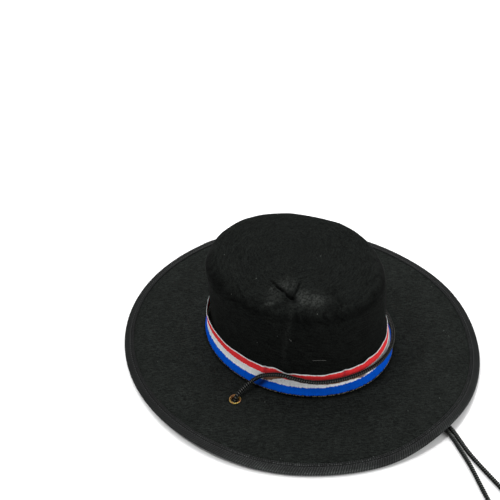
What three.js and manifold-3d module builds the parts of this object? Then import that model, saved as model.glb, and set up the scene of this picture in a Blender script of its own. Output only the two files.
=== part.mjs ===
// A gaucho hat at rest on a flat surface: crown and brim in one piece of pressed felt, a ribbon binding
// folded over the brim's edge, a striped ribbon band, two brass eyelets and a braided chin cord.
// Millimetres, +Z up. The front is towards -Y, right (+X) and left are as seen from the front, and the
// origin lies on the surface in the middle of the brim's outline.

import * as THREE from 'three';
import { mergeVertices } from 'three/addons/utils/BufferGeometryUtils.js';
import Module from 'manifold-3d';

// brim and head
const brimLength = 384; // front to back over the binding
const brimWidth = 345; // side to side over the binding
const headLength = 197; // inside the crown at its foot
const headWidth = 160;
const crownHeight = 110; // the felt's top over the brim
const brimStand = 10; // the brim's upper face at the crown over the surface
const feltWall = 2;
const shoulderRadius = 19; // round the crown's top edge
const domeRise = 5; // the crown's top over its shoulder
const footRadius = 3.5; // between crown and brim
const edgeLean = 20; // degrees of the brim's slope at its edge

// ribbons
const bindingWall = 1.2;
const bindingWidth = 12; // each leg of the folded ribbon, in from the felt's edge
const bandWall = 1;
const bandWidth = 27;
const bandStand = 2; // the band's lower edge over the brim

// eyelets and cord
const eyeletReach = 110; // from the middle of the hat out to each eyelet
const eyeletBore = 6.8;
const eyeletWall = 0.5;
const eyeletFlange = 1.8; // how far the rolled rim reaches past the barrel on the brim's upper face
const eyeletBack = 1; // the same on its under face
const eyeletCurl = 0.9; // height of each rim
const eyeletSides = 20;
const holeSides = 16; // of the felt's hole round each eyelet
const cordDiameter = 4.5;
const cordStep = 4.3; // longest step along the cord, in diameters
const cordSides = 8;

const clearance = 0.3; // between neighbouring pieces
const mergeReach = 1e-4; // points closer than this are one

// The crown's wall from the foot to the shoulder. rise is a share of the wall's height, reach a share of the
// foot's oval.
const wallSections = [
  { rise: 0, reach: 1 },
  { rise: 0.15, reach: 0.972 },
  { rise: 0.3, reach: 0.955 },
  { rise: 0.65, reach: 0.945 },
  { rise: 1, reach: 0.94 },
];

// Places across the brim from the crown (0) to the binding (1).
const brimSections = [0.15, 0.4, 0.62, 0.82];

// Places on the crown's top from the shoulder (1) to the middle (0).
const topSections = [0.72, 0.4];

// Places round the two bends, in degrees: the shoulder from the top on, the foot from the wall on.
const shoulderTurns = [8, 28, 50, 72];
const footTurns = [60, 30, 5];

// Waves of the brim. bearing and spread are degrees round the oval from +X. lift is a share of the cord's
// diameter, push a share of the brim's stand, both at the felt's edge. The first one lets the cord out.
const brimWaves = [
  { bearing: -99, spread: 26, lift: 1.32, push: 0 },
  { bearing: -140, spread: 26, lift: 0, push: -0.16 },
  { bearing: 176, spread: 36, lift: 0.62, push: 0 },
  { bearing: 52, spread: 34, lift: 0.45, push: 0 },
  { bearing: -32, spread: 26, lift: 0.28, push: 0.06 },
];

// Dents of the crown, each along a line between two places. A place holds shares of the head's half width,
// its half length and the crown's height. width and depth are shares of the shoulder's radius. The last two,
// with a depth below zero, bulge outwards.
const crownDents = [
  { from: [-0.62, -0.3, 0.9], to: [-0.78, -0.42, 0.84], width: 0.95, depth: 0.14 },
  { from: [-0.52, -0.02, 1], to: [-0.64, -0.3, 0.96], width: 0.3, depth: 0.14 },
  { from: [-0.3, -0.27, 1], to: [-0.64, -0.34, 0.96], width: 0.3, depth: 0.12 },
  { from: [-0.66, -0.33, 0.95], to: [-0.86, -0.38, 0.6], width: 0.28, depth: 0.08 },
  { from: [-0.36, -0.55, 0.97], to: [-0.44, -0.72, 0.84], width: 0.36, depth: 0.1 },
  { from: [0.85, -0.1, 0.96], to: [0.76, -0.42, 0.96], width: 1, depth: -0.13 },
  { from: [-0.55, 0.72, 0.93], to: [-0.72, 0.55, 0.92], width: 0.9, depth: -0.16 },
];

// Columns round the oval, in degrees: closer together over the dents.
const coarseStep = 6;
const fineStep = 3;
const fineFrom = -174;
const fineTo = -108;

// The cord's route: from the middle of the right eyelet over the band's front to the left eyelet, down
// through it, over the surface under the brim, out at the front and round its end, back in beside itself and
// up into the right eyelet.
const cordPoints = [
  [109.9, 0, 9.1], [108, -0.2, 12.8], [98.5, -3, 17], [87.8, -11.6, 20.3], [79.8, -35.4, 21.5],
  [65.1, -66.5, 22.5], [42.5, -89.3, 24.2], [15.1, -100.8, 27.6], [-14.2, -100.5, 30], [-45.4, -85.1, 31.6],
  [-64.7, -64.6, 32.4], [-73.3, -48, 35.4], [-78.2, -34.2, 37.4], [-83, -14.3, 28.6], [-85.9, -6.3, 20.8],
  [-95.5, -2.3, 17.2], [-108, -0.2, 12.8], [-110, 0, 9], [-111.4, 0, 6.1], [-114.9, -0.2, 3.1],
  [-122, -1.4, 2.35], [-131, -13, 2.35], [-88, -98, 2.35], [-38, -137, 2.35], [-20.5, -161, 2.35],
  [-25, -186, 2.35], [-43.5, -216, 2.35], [-103, -298, 2.35], [-95.5, -314, 2.35], [-78.5, -300, 2.35],
  [-38.5, -219, 2.35], [-19.8, -187, 2.35], [-14.8, -161.5, 2.35], [26, -134, 2.35], [88, -98, 2.35],
  [131, -13, 2.35], [122, -1.4, 2.35], [114.9, -0.2, 3.1], [111.4, 0, 6.1], [110.1, 0, 8.7],
];

const finishes = {
  felt: { color: 0x1e1f1e, roughness: 0.95, metalness: 0 },
  binding: { color: 0x26272a, roughness: 0.75, metalness: 0 },
  band: { color: 0xd8dbe0, roughness: 0.6, metalness: 0 },
  brass: { color: 0xc79a3f, roughness: 0.3, metalness: 1 },
  cord: { color: 0x1a1a1b, roughness: 0.8, metalness: 0 },
};

const degrees = THREE.MathUtils.degToRad;
const mix = THREE.MathUtils.lerp;

const edgeTilt = degrees(edgeLean);
const brimMiddle = brimStand - feltWall / 2; // height of the middle of the felt's wall in the brim
const footLength = headLength / 2 + feltWall / 2; // half sizes of the crown's foot at the middle of its wall
const footWidth = headWidth / 2 + feltWall / 2;
const bindingInner = feltWall / 2 + clearance; // from the middle of the felt to each face of the ribbon
const bindingOuter = bindingInner + bindingWall;
const bindingNose = clearance + bindingWall;
const edgeInset = bindingNose * Math.cos(edgeTilt) + (bindingInner / 2) * Math.sin(edgeTilt);
const edgeLength = brimLength / 2 - edgeInset; // half sizes of the felt's edge
const edgeWidth = brimWidth / 2 - edgeInset;
const edgeHeight = bindingOuter * Math.cos(edgeTilt) + clearance * Math.sin(edgeTilt);
const brimRun = (edgeLength + edgeWidth - footLength - footWidth) / 2 - footRadius;
const brimFall = brimMiddle - edgeHeight;
const brimPower = (Math.tan(edgeTilt) * brimRun) / brimFall; // makes the brim turn down late
const bindingStart = 1 - bindingWidth / brimRun;
const wallFoot = brimMiddle + footRadius;
const topHeight = brimStand + crownHeight;
const shoulderFoot = topHeight - feltWall / 2 - domeRise - shoulderRadius;

function columnBearings() {
  const bearings = [];
  let bearing = -180;
  while (bearing < 180) {
    bearings.push(degrees(bearing));
    bearing += bearing >= fineFrom && bearing < fineTo ? fineStep : coarseStep;
  }
  return bearings;
}

const columns = columnBearings();

// A section is an oval ring at the middle of the felt's wall: half sizes, height, the wall's slope and how
// far out on the brim it lies.
function brimSection(out) {
  return {
    long: mix(footLength + footRadius, edgeLength, out),
    wide: mix(footWidth + footRadius, edgeWidth, out),
    height: brimMiddle - brimFall * out ** brimPower,
    lean: Math.atan((brimFall * brimPower * out ** (brimPower - 1)) / brimRun),
    out,
  };
}

// The stretch of the brim that the binding covers.
function bindingSections() {
  return [bindingStart, (bindingStart + 1) / 2, 1].map(brimSection);
}

function wallSection(height) {
  const rise = (height - wallFoot) / (shoulderFoot - wallFoot);
  const next = Math.max(1, wallSections.findIndex((row) => row.rise >= Math.min(rise, 1)));
  const low = wallSections[next - 1];
  const high = wallSections[next];
  const reach = mix(low.reach, high.reach, (rise - low.rise) / (high.rise - low.rise));
  const pull = ((low.reach - high.reach) * (footLength + footWidth)) / 2;
  const run = (high.rise - low.rise) * (shoulderFoot - wallFoot);
  return { long: footLength * reach, wide: footWidth * reach, height, lean: Math.atan2(run, pull), out: 0 };
}

// All sections from the middle of the crown's top down to the felt's edge.
function feltSections() {
  const top = wallSection(shoulderFoot);
  const plateau = { long: top.long - shoulderRadius, wide: top.wide - shoulderRadius };
  const sections = topSections
    .map((share) => ({
      long: plateau.long * share,
      wide: plateau.wide * share,
      height: shoulderFoot + shoulderRadius + domeRise * (1 - share * share),
      lean: Math.atan((4 * domeRise * share) / (plateau.long + plateau.wide)),
      out: 0,
    }))
    .reverse();
  for (const turn of shoulderTurns) {
    const angle = degrees(turn);
    sections.push({
      long: plateau.long + shoulderRadius * Math.sin(angle),
      wide: plateau.wide + shoulderRadius * Math.sin(angle),
      height: shoulderFoot + shoulderRadius * Math.cos(angle),
      lean: angle,
      out: 0,
    });
  }
  for (const row of [...wallSections].reverse()) {
    sections.push(wallSection(mix(wallFoot, shoulderFoot, row.rise)));
  }
  for (const turn of footTurns) {
    const angle = degrees(turn);
    sections.push({
      long: footLength + footRadius * (1 - Math.sin(angle)),
      wide: footWidth + footRadius * (1 - Math.sin(angle)),
      height: wallFoot - footRadius * Math.cos(angle),
      lean: angle,
      out: 0,
    });
  }
  sections.push(...brimSections.map((share) => brimSection(share * bindingStart)), ...bindingSections());
  return sections;
}

// Sum of the brim's waves at a bearing.
function wave(bearing, key) {
  let sum = 0;
  for (const row of brimWaves) {
    const turn = Math.abs(((bearing - degrees(row.bearing) + 3 * Math.PI) % (2 * Math.PI)) - Math.PI);
    const near = turn / degrees(row.spread);
    if (near < 1) {
      sum += row[key] * Math.cos((near * Math.PI) / 2) ** 2;
    }
  }
  return sum;
}

// How deep the crown is pressed in at a point.
function dentDepth(point) {
  const place = ([side, front, rise]) =>
    new THREE.Vector3(side * footWidth, front * footLength, brimStand + rise * crownHeight);
  const nearest = new THREE.Vector3();
  let depth = 0;
  for (const row of crownDents) {
    const line = new THREE.Line3(place(row.from), place(row.to));
    line.closestPointToPoint(point, true, nearest);
    const near = nearest.distanceTo(point) / (row.width * shoulderRadius);
    depth += row.depth * shoulderRadius * Math.exp(-near * near);
  }
  return depth;
}

// A point of the hat on a section at a bearing, off the middle of the felt's wall by a distance along its
// normal. The brim takes the waves, and the crown above the band takes the dents.
function surfacePoint(section, bearing, off) {
  const outward = off * Math.sin(section.lean);
  const point = new THREE.Vector3(
    Math.cos(bearing) * (section.wide + outward),
    Math.sin(bearing) * (section.long + outward),
    section.height + off * Math.cos(section.lean),
  );
  if (section.out > 0) {
    const push = 1 + (wave(bearing, 'push') * brimStand * section.out) / section.long;
    point.x *= push;
    point.y *= push;
    point.z += wave(bearing, 'lift') * cordDiameter * section.out ** 2;
  } else if (section.height > brimStand + bandStand + bandWidth) {
    const across = new THREE.Vector2(Math.cos(bearing) / section.wide, Math.sin(bearing) / section.long);
    const middle = new THREE.Vector3(
      Math.cos(bearing) * section.wide,
      Math.sin(bearing) * section.long,
      section.height,
    );
    const depth = dentDepth(middle);
    across.setLength(depth * Math.sin(section.lean));
    point.x -= across.x;
    point.y -= across.y;
    point.z -= depth * Math.cos(section.lean);
  }
  return point;
}

// A closed body from rings of points, each ring with one point for each column. A ring of one point closes
// an end. Without such ends the last ring joins the first.
function loft(rings) {
  const positions = [];
  const starts = rings.map((ring) => {
    const start = positions.length / 3;
    for (const point of ring) {
      positions.push(point.x, point.y, point.z);
    }
    return start;
  });
  const count = columns.length;
  const ended = rings[0].length === 1;
  const faces = [];
  const last = ended ? rings.length - 1 : rings.length;
  for (let i = 0; i < last; i += 1) {
    const j = (i + 1) % rings.length;
    for (let k = 0; k < count; k += 1) {
      const next = (k + 1) % count;
      const a = starts[i] + (rings[i].length === 1 ? 0 : k);
      const b = starts[i] + (rings[i].length === 1 ? 0 : next);
      const c = starts[j] + (rings[j].length === 1 ? 0 : k);
      const d = starts[j] + (rings[j].length === 1 ? 0 : next);
      if (a !== b) {
        faces.push(a, c, b);
      }
      if (c !== d) {
        faces.push(b, c, d);
      }
    }
  }
  const geometry = new THREE.BufferGeometry();
  geometry.setAttribute('position', new THREE.Float32BufferAttribute(positions, 3));
  geometry.setIndex(faces);
  return geometry;
}

function ring(section, off) {
  return columns.map((bearing) => surfacePoint(section, bearing, off));
}

const wasm = await Module();
wasm.setup();

function toSolid(geometry) {
  const bare = geometry.clone();
  bare.deleteAttribute('normal');
  bare.deleteAttribute('uv');
  const merged = mergeVertices(bare, mergeReach);
  return new wasm.Manifold(
    new wasm.Mesh({
      numProp: 3,
      vertProperties: new Float32Array(merged.attributes.position.array),
      triVerts: new Uint32Array(merged.index.array),
    }),
  );
}

function toGeometry(solid) {
  const mesh = solid.getMesh();
  const geometry = new THREE.BufferGeometry();
  geometry.setAttribute('position', new THREE.Float32BufferAttribute(mesh.vertProperties, 3));
  geometry.setIndex(Array.from(mesh.triVerts));
  return geometry;
}

// Where an eyelet sits on the brim: side is 1 on the right and -1 on the left.
function eyeletPlace(side) {
  const out = (eyeletReach - footWidth - footRadius) / (edgeWidth - footWidth - footRadius);
  const section = brimSection(out);
  const bearing = side > 0 ? 0 : Math.PI;
  return { middle: surfacePoint(section, bearing, 0), tilt: side * section.lean };
}

function placeEyelet(geometry, side) {
  const { middle, tilt } = eyeletPlace(side);
  geometry.rotateX(Math.PI / 2);
  geometry.rotateY(tilt);
  geometry.translate(middle.x, middle.y, middle.z);
  return geometry;
}

function makeFelt() {
  const sections = feltSections();
  const half = feltWall / 2;
  const peak = (off) => [new THREE.Vector3(0, 0, topHeight - half + off)];
  const rings = [
    peak(half),
    ...sections.map((section) => ring(section, half)),
    ...sections.map((section) => ring(section, -half)).reverse(),
    peak(-half),
  ];
  const holeRadius = eyeletBore / 2 + eyeletWall + clearance;
  const holeDepth = 4 * feltWall; // well past both faces
  let felt = toSolid(loft(rings));
  for (const side of [-1, 1]) {
    const hole = new THREE.CylinderGeometry(holeRadius, holeRadius, holeDepth, holeSides);
    felt = felt.subtract(toSolid(placeEyelet(hole, side)));
  }
  return toGeometry(felt);
}

// The ribbon folded over the felt's edge, flattened along its foot where it rests on the surface.
function makeBinding() {
  const legs = bindingSections();
  const edge = legs.pop();
  const past = (reach, off) => {
    const across = reach * Math.cos(edge.lean) + off * Math.sin(edge.lean);
    const height = edge.height + off * Math.cos(edge.lean) - reach * Math.sin(edge.lean);
    return { ...edge, long: edge.long + across, wide: edge.wide + across, height };
  };
  const flat = (section) => ({ ...section, height: 0 });
  const sections = [
    past(clearance, bindingOuter),
    past(bindingNose, bindingInner / 2),
    past(bindingNose, -bindingInner / 2),
    flat(past(clearance, -bindingOuter)),
    flat(past(-bindingWall, -bindingOuter)),
  ];
  return loft([
    ...legs.map((section) => ring(section, bindingOuter)),
    ...sections.map((section) => ring(section, 0)),
    ...legs.map((section) => ring(section, -bindingOuter)).reverse(),
    ...legs.map((section) => ring(section, -bindingInner)),
    ring(past(clearance, -bindingInner), 0),
    ring(past(clearance, bindingInner), 0),
    ...legs.map((section) => ring(section, bindingInner)).reverse(),
  ]);
}

function makeBand() {
  const inner = feltWall / 2 + clearance;
  const foot = brimStand + bandStand;
  const head = foot + bandWidth;
  const between = wallSections
    .map((row) => mix(wallFoot, shoulderFoot, row.rise))
    .filter((height) => height > foot + bandWall && height < head - bandWall);
  const sections = [foot, ...between, head].map(wallSection);
  return loft([
    ...sections.map((section) => ring(section, inner)),
    ...sections.map((section) => ring(section, inner + bandWall)).reverse(),
  ]);
}

// A rolled brass ring through the brim, turned round its own axis, with a mouth that widens at both ends.
function makeEyelet(side) {
  const bore = eyeletBore / 2;
  const barrel = bore + eyeletWall;
  const seat = feltWall / 2 + clearance;
  const face = seat + eyeletCurl;
  const rim = barrel + eyeletFlange;
  const back = barrel + eyeletBack;
  const crest = (barrel + rim) / 2;
  const outline = [
    [bore, 0], [bore, -feltWall / 2], [barrel + eyeletWall, -face], [back, -face], [back, -seat],
    [barrel, -seat], [barrel, seat], [rim, seat], [rim, seat + eyeletCurl / 2],
    [crest + eyeletWall, face], [crest, face], [bore, feltWall / 2], [bore, 0],
  ];
  const profile = outline.map(([x, y]) => new THREE.Vector2(x, y));
  return placeEyelet(new THREE.LatheGeometry(profile, eyeletSides), side);
}

// A route with a step at each chosen point, and more between points that lie far apart.
class CordRoute extends THREE.CatmullRomCurve3 {
  constructor(points) {
    super(points);
    const last = points.length - 1;
    this.steps = [0];
    for (let i = 0; i < last; i += 1) {
      const parts = Math.ceil(points[i].distanceTo(points[i + 1]) / (cordStep * cordDiameter));
      for (let j = 1; j <= parts; j += 1) {
        this.steps.push((i + j / parts) / last);
      }
    }
  }

  getUtoTmapping(u) {
    return this.steps[Math.round(u * (this.steps.length - 1))];
  }
}

function makeCord() {
  const route = new CordRoute(cordPoints.map((point) => new THREE.Vector3(...point)));
  const corners = [];
  for (let i = 0; i < cordSides; i += 1) {
    const angle = ((i + 0.5) * 2 * Math.PI) / cordSides; // lays a flat side on the surface
    corners.push(new THREE.Vector2(Math.cos(angle), Math.sin(angle)).multiplyScalar(cordDiameter / 2));
  }
  const section = new THREE.Shape(corners);
  return new THREE.ExtrudeGeometry(section, { steps: route.steps.length - 1, extrudePath: route });
}

function addPiece(group, name, geometry, finish) {
  const mesh = new THREE.Mesh(geometry, new THREE.MeshStandardMaterial(finish));
  mesh.name = name;
  group.add(mesh);
}

const hat = new THREE.Group();
addPiece(hat, 'felt_body', makeFelt(), finishes.felt);
addPiece(hat, 'brim_binding', makeBinding(), finishes.binding);
addPiece(hat, 'hat_band', makeBand(), finishes.band);
addPiece(hat, 'eyelet_left', makeEyelet(-1), finishes.brass);
addPiece(hat, 'eyelet_right', makeEyelet(1), finishes.brass);
addPiece(hat, 'chin_cord', makeCord(), finishes.cord);

export default hat;
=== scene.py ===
import math

import bpy
import numpy as np
from mathutils import Matrix, Vector


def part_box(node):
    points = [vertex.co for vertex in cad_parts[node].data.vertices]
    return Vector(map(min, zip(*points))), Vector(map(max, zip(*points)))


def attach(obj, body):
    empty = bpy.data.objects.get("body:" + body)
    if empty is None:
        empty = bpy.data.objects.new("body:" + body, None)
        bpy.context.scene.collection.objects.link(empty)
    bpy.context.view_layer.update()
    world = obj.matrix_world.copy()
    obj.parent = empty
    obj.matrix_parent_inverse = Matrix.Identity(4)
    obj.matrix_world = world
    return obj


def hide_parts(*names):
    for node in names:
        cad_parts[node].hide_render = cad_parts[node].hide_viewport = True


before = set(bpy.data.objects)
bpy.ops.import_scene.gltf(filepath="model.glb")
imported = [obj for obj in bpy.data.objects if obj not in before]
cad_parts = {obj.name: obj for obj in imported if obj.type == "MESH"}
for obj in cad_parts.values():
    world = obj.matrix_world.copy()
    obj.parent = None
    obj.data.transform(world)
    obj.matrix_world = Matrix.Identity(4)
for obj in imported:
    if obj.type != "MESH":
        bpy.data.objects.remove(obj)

# A gaucho hat of black felt at rest on a pale floor: folded ribbon binding, striped band,
# brass eyelets and a braided chin cord. Metres, +Z up, front towards -Y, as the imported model.

mm = 0.001
fullTurn = 2 * math.pi
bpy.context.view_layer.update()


# Rows of a table as dictionaries, from the names of its columns and a tuple for each row.
def table(columns, *rows):
    return [dict(zip(columns.split(), row)) for row in rows]


# Camera

camera = {
    "place": (-0.5992, -0.4326, 0.7639),
    "heading": 50.85,  # degrees from +Y towards +X
    "down": 40.7,  # degrees below the horizon
    "roll": -4.67,
    "lens": 72,  # mm, on a sensor 36 mm wide
    "sensor": 36,
}


def makeCamera():
    heading, down, roll = (math.radians(camera[key]) for key in ("heading", "down", "roll"))
    right = Vector((math.cos(heading), -math.sin(heading), 0))
    level = Vector((math.sin(heading), math.cos(heading), 0))
    forward = level * math.cos(down) - Vector((0, 0, math.sin(down)))
    up = right.cross(forward)
    across = right * math.cos(roll) + up * math.sin(roll)
    above = up * math.cos(roll) - right * math.sin(roll)
    data = bpy.data.cameras.new("camera")
    data.lens = camera["lens"]
    data.sensor_width = camera["sensor"]
    item = bpy.data.objects.new("camera", data)
    turn = Matrix((across, above, -forward)).transposed().to_4x4()
    item.matrix_world = Matrix.Translation(camera["place"]) @ turn
    bpy.context.collection.objects.link(item)
    bpy.context.scene.camera = item
    print("camera placed")


# Mesh helpers

def meshObject(name, points, faces):
    mesh = bpy.data.meshes.new(name)
    mesh.from_pydata(np.asarray(points).tolist(), [], [list(face) for face in faces])
    mesh.polygons.foreach_set("use_smooth", [True] * len(mesh.polygons))
    mesh.update()
    item = bpy.data.objects.new(name, mesh)
    bpy.context.collection.objects.link(item)
    return item


# Quads of a grid of points, given as rows by columns, that face outwards when rows run from the
# top down and columns run anticlockwise seen from above.
def gridFaces(rows, columns, closedRows=False, closedColumns=True, first=0):
    i = np.arange(rows if closedRows else rows - 1)
    k = np.arange(columns if closedColumns else columns - 1)
    i, k = (part.ravel() for part in np.meshgrid(i, k, indexing="ij"))
    j = (i + 1) % rows
    n = (k + 1) % columns
    quads = [i * columns + k, j * columns + k, j * columns + n, i * columns + n]
    return np.stack(quads, axis=1) + first


def paint(item, name, values):
    layer = item.data.attributes.new(name, "FLOAT", "POINT")
    layer.data.foreach_set("value", np.asarray(values, dtype=np.float32).ravel())


# A uv map from one place for each point. Where a mesh of quads closes on itself after a length of
# around, the places in its last column run on past the seam.
def unwrap(item, name, uv, around=None):
    layer = item.data.uv_layers.new(name=name)
    corners = np.empty(len(item.data.loops), dtype=np.int32)
    item.data.loops.foreach_get("vertex_index", corners)
    places = np.asarray(uv, dtype=np.float32)[corners]
    if around:
        u = places[:, 0].reshape(-1, 4)
        places[:, 0] = np.where(u.max(axis=1, keepdims=True) - u > around / 2, u + around, u).ravel()
    layer.data.foreach_set("uv", places.ravel())


# A tube round a route, shut at both ends, with so many sides. side and up are the directions across
# the route, for all of it or at each point, and radius is a number or an array of rings by sides.
def tube(route, side, up, radius, sides, first=0):
    angle = np.linspace(0, fullTurn, sides, endpoint=False)[None, :, None]
    ring = np.cos(angle) * np.atleast_2d(side)[:, None] + np.sin(angle) * np.atleast_2d(up)[:, None]
    points = route[:, None] + np.broadcast_to(radius, (len(route), sides))[..., None] * ring
    faces = gridFaces(len(route), sides, first=first)[:, ::-1].tolist()
    last = first + (len(route) - 1) * sides
    faces.append([first + k for k in range(sides)])
    faces.append([last + k for k in reversed(range(sides))])
    return points.reshape(-1, 3), faces


# Every piece rides on the hat's one body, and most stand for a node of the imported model.
def finishPiece(item, material, node=None):
    item.data.materials.append(material)
    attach(item, "root")
    if node:
        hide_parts(node)


# Material helpers

class Shader:
    def __init__(self, name, settings):
        self.material = bpy.data.materials.new(name)
        self.material.use_nodes = True
        self.tree = self.material.node_tree
        self.shader = self.tree.nodes["Principled BSDF"]
        for socket, value in settings.items():
            self.shader.inputs[socket].default_value = value

    def fill(self, socket, value):
        if isinstance(value, bpy.types.NodeSocket):
            self.tree.links.new(value, socket)
        else:
            socket.default_value = value

    def node(self, kind, inputs=None, **settings):
        made = self.tree.nodes.new(kind)
        for key, value in settings.items():
            setattr(made, key, value)
        for socket, value in (inputs or {}).items():
            self.fill(made.inputs[socket], value)
        return made

    def link(self, output, socket):
        self.tree.links.new(output, self.shader.inputs[socket])

    def place(self):
        return self.node("ShaderNodeTexCoord").outputs["Object"]

    # millimetres along a ribbon, and its second coordinate across it
    def ribbonPlace(self):
        uv = self.node("ShaderNodeUVMap", uv_map="ribbon").outputs[0]
        return self.node("ShaderNodeSeparateXYZ", {0: uv}).outputs[:2]

    def attribute(self, name):
        return self.node("ShaderNodeAttribute", attribute_name=name).outputs["Fac"]

    def math(self, operation, first, second=0.0):
        return self.node("ShaderNodeMath", {0: first, 1: second}, operation=operation).outputs[0]

    def chain(self, operation, total, values):
        for value in values:
            total = self.math(operation, total, value)
        return total

    def times(self, first, *others):
        return self.chain("MULTIPLY", first, others)

    def plus(self, first, *others):
        return self.chain("ADD", first, others)

    def square(self, value):
        return self.times(value, value)

    # from first to second as share goes from 0 to 1
    def between(self, share, first, second):
        return self.plus(self.times(first, self.math("SUBTRACT", 1, share)), self.times(second, share))

    def remap(self, value, low, high, newLow=0.0, newHigh=1.0):
        sockets = {"Value": value, "From Min": low, "From Max": high, "To Min": newLow, "To Max": newHigh}
        return self.node("ShaderNodeMapRange", sockets).outputs["Result"]

    # 1 on the crests and 0 in the hollows of a wave, for a place and a pitch in the same units
    def wave(self, place, pitch):
        return self.remap(self.math("COSINE", self.times(place, fullTurn / pitch)), -1, 1)

    def noise(self, vector, scale, detail=3, roughness=0.55):
        settings = {"Vector": vector, "Scale": scale, "Detail": detail, "Roughness": roughness}
        return self.node("ShaderNodeTexNoise", settings).outputs["Fac"]

    # noise drawn out along X turned about +Z
    def streaks(self, turn, scale, stretch):
        rotation = (0, 0, math.radians(turn))
        turned = self.node("ShaderNodeMapping", {"Vector": self.place(), "Rotation": rotation})
        size = (scale / stretch, scale, scale)
        sized = self.node("ShaderNodeMapping", {"Vector": turned.outputs[0], "Scale": size})
        return self.noise(sized.outputs[0], 1, 4, 0.6)

    def mix(self, share, first, second, blend="MIX"):
        made = self.node("ShaderNodeMix", data_type="RGBA", blend_type=blend)
        sockets = {entry.identifier: entry for entry in (*made.inputs, *made.outputs)}
        for name, value in (("Factor_Float", share), ("A_Color", first), ("B_Color", second)):
            self.fill(sockets[name], (*value, 1) if isinstance(value, tuple) else value)
        return sockets["Result_Color"]

    # a colour times a factor, which may be over 1
    def shaded(self, colour, factor):
        grey = self.node("ShaderNodeCombineColor", {0: factor, 1: factor, 2: factor})
        return self.mix(1.0, colour, grey.outputs[0], "MULTIPLY")

    def bump(self, height, distance, strength):
        made = self.node("ShaderNodeBump", {"Height": height, "Distance": distance, "Strength": strength})
        self.link(made.outputs[0], "Normal")


# The hat's own sizes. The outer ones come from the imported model.

bindingLow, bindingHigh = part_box("brim_binding")
bandLow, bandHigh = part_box("hat_band")

hat = {
    "brimLength": bindingHigh[1] - bindingLow[1],
    "brimWidth": bindingHigh[0] - bindingLow[0],
    "topHeight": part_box("felt_body")[1][2],
    "headLength": 197 * mm,  # inside the crown at its foot
    "headWidth": 160 * mm,
    "brimStand": 10 * mm,  # the brim's upper face at the crown
    "feltWall": 2 * mm,
    "shoulderRadius": 19 * mm,
    "domeRise": 5 * mm,
    "footRadius": 3.5 * mm,
    "edgeLean": 20,  # degrees of the brim's slope at its edge
    "wallTaper": 0.06,  # how much narrower the crown's wall is at the shoulder
    "wallCurve": 3.8,  # the power with which it gets narrower
    "clearance": 0.3 * mm,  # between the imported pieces
    "bindingWall": 1.2 * mm,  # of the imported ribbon
    "bindingWidth": 12 * mm,  # of its legs; the ribbon made here is narrower
    "cordDiameter": 4.5 * mm,
}

halfWall = hat["feltWall"] / 2
edgeTilt = math.radians(hat["edgeLean"])
brimMiddle = hat["brimStand"] - halfWall
footLong = hat["headLength"] / 2 + halfWall
footWide = hat["headWidth"] / 2 + halfWall
bindingInner = halfWall + hat["clearance"]
bindingOuter = bindingInner + hat["bindingWall"]
bindingNose = hat["clearance"] + hat["bindingWall"]
edgeInset = bindingNose * math.cos(edgeTilt) + bindingInner / 2 * math.sin(edgeTilt)
edgeLong = hat["brimLength"] / 2 - edgeInset
edgeWide = hat["brimWidth"] / 2 - edgeInset
edgeHeight = bindingOuter * math.cos(edgeTilt) + hat["clearance"] * math.sin(edgeTilt)
brimRun = (edgeLong + edgeWide - footLong - footWide) / 2 - hat["footRadius"]
brimFall = brimMiddle - edgeHeight
brimPower = math.tan(edgeTilt) * brimRun / brimFall
bindingStart = 1 - hat["bindingWidth"] / brimRun
wallFoot = brimMiddle + hat["footRadius"]
shoulderFoot = hat["topHeight"] - halfWall - hat["domeRise"] - hat["shoulderRadius"]
crownHeight = hat["topHeight"] - hat["brimStand"]

# Waves of the brim: bearing and spread in degrees round the oval from +X, lift as a share of the
# cord's diameter and push as a share of the brim's stand.
brimWaves = table(
    "bearing spread lift push",
    (-99, 26, 1.32, 0),
    (-140, 26, 0, -0.16),
    (176, 36, 0.62, 0),
    (52, 34, 0.45, 0),
    (-32, 26, 0.28, 0.06),
)

# Broad dents of the crown between two places, given as shares of the head's half width, its half
# length and the crown's height. width and depth are shares of the shoulder's radius, and the last
# two bulge outwards.
crownDents = table(
    "start end width depth",
    ((-0.62, -0.3, 0.9), (-0.78, -0.42, 0.84), 0.95, 0.14),
    ((-0.36, -0.55, 0.97), (-0.44, -0.72, 0.84), 0.36, 0.1),
    ((0.85, -0.1, 0.96), (0.76, -0.42, 0.96), 1, -0.13),
    ((-0.55, 0.72, 0.93), (-0.72, 0.55, 0.92), 0.9, -0.16),
)

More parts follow.
